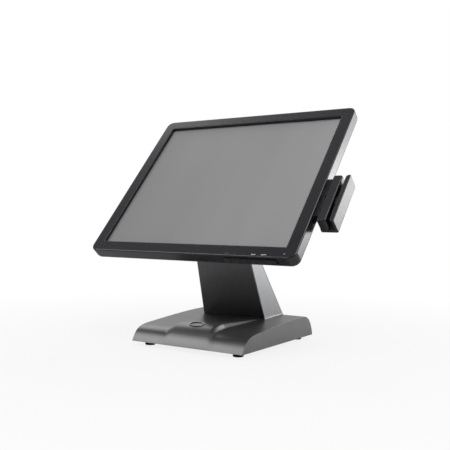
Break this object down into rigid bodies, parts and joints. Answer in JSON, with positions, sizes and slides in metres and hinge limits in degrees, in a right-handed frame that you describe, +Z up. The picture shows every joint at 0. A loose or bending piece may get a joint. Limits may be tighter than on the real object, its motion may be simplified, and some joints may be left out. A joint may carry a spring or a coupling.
{
  "type": "pos touchscreen terminal",
  "caption": "Counter touchscreen terminal: wide dark-framed screen tilting on a leaning neck, low rounded weighted base with rubber feet, card reader on the right edge.",
  "frame": {"origin": "on the counter under the middle of the whole object", "axes": "+X to the right as the user faces the screen, +Y away from the user, +Z up"},
  "size_m": [0.411, 0.2364, 0.3849],
  "materials": {
    "badge_gloss": "gloss dish",
    "bezel_black": "satin gloss",
    "black_rubber": "matte",
    "brass": "turned",
    "brushed_shell": "satin, fine brushed lines",
    "circuit_board": "solder mask",
    "foam": "foam",
    "head_metal": "polished",
    "housing_black": "fine moulded grain",
    "key_black": "satin",
    "light_lens": "clear lens",
    "panel_metal": "pressed sheet",
    "panel_tray": "moulded tray",
    "port_black": "moulded",
    "reader_dark": "fine grain",
    "reader_side": "satin",
    "screw_steel": "blackened screws",
    "steel_plate": "zinc plated sheet",
    "touch_screen": "matte anti-glare"
  },
  "bodies": {
    "stand": {"badge": "badge_gloss", "base_cover": "brushed_shell", "base_cover_screws": "screw_steel", "base_plate": "steel_plate", "cable_grommet": "black_rubber", "foot_front_left": "black_rubber", "foot_front_right": "black_rubber", "foot_rear_left": "black_rubber", "foot_rear_right": "black_rubber", "foot_screws": "screw_steel", "frame_bolts": "screw_steel", "neck_cover": "brushed_shell", "neck_frame": "steel_plate", "neck_rear_cover": "housing_black", "neck_rear_screws": "screw_steel"},
    "display": {"bracket_screws": "screw_steel", "friction_washer_left": "steel_plate", "friction_washer_right": "steel_plate", "front_bezel": "bezel_black", "hinge_nut_left": "steel_plate", "hinge_nut_right": "steel_plate", "hinge_shaft": "steel_plate", "key_board": "circuit_board", "key_strip": "key_black", "lcd_panel": "panel_tray", "main_board": "circuit_board", "main_board_screws": "screw_steel", "main_board_standoffs": "brass", "panel_chassis": "panel_metal", "panel_screws": "screw_steel", "power_board": "circuit_board", "power_board_screws": "screw_steel", "power_board_standoffs": "brass", "power_jack": "port_black", "power_light": "light_lens", "read_head_spring": "head_metal", "reader_board": "circuit_board", "reader_bracket": "reader_dark", "reader_channel": "reader_side", "reader_cover": "reader_side", "reader_rail": "reader_dark", "rear_cover": "housing_black", "rear_cover_screws": "screw_steel", "tilt_bracket": "steel_plate", "touch_board": "circuit_board", "touch_board_screws": "screw_steel", "touch_board_standoffs": "brass", "touch_gasket": "foam", "touch_glass": "touch_screen", "usb_socket": "port_black", "video_socket": "port_black"},
    "key_select": {"key_select": "key_black"},
    "key_down": {"key_down": "key_black"},
    "key_up": {"key_up": "key_black"},
    "key_menu": {"key_menu": "key_black"},
    "key_power": {"key_power": "key_black"},
    "read_head": {"read_head": "head_metal"}
  },
  "joints": [
    {"name": "display_tilt", "type": "hinge", "parent": "stand", "child": "display", "pos_m": [-0.0165, -0.01305, 0.17716], "axis": [1, 0, 0], "range_deg": [-35, 32]},
    {"name": "key_select_press", "type": "slide", "parent": "display", "child": "key_select", "axis": [0, 0.6669, 0.7451], "range_m": [0, 0.001], "stiffness_N_per_m": 500},
    {"name": "key_down_press", "type": "slide", "parent": "display", "child": "key_down", "axis": [0, 0.6669, 0.7451], "range_m": [0, 0.001], "stiffness_N_per_m": 500},
    {"name": "key_up_press", "type": "slide", "parent": "display", "child": "key_up", "axis": [0, 0.6669, 0.7451], "range_m": [0, 0.001], "stiffness_N_per_m": 500},
    {"name": "key_menu_press", "type": "slide", "parent": "display", "child": "key_menu", "axis": [0, 0.6669, 0.7451], "range_m": [0, 0.001], "stiffness_N_per_m": 500},
    {"name": "key_power_press", "type": "slide", "parent": "display", "child": "key_power", "axis": [0, 0.6669, 0.7451], "range_m": [0, 0.001], "stiffness_N_per_m": 500},
    {"name": "read_head_float", "type": "slide", "parent": "display", "child": "read_head", "axis": [-1, 0, 0], "range_m": [0, 0.0005], "stiffness_N_per_m": 800}
  ]
}
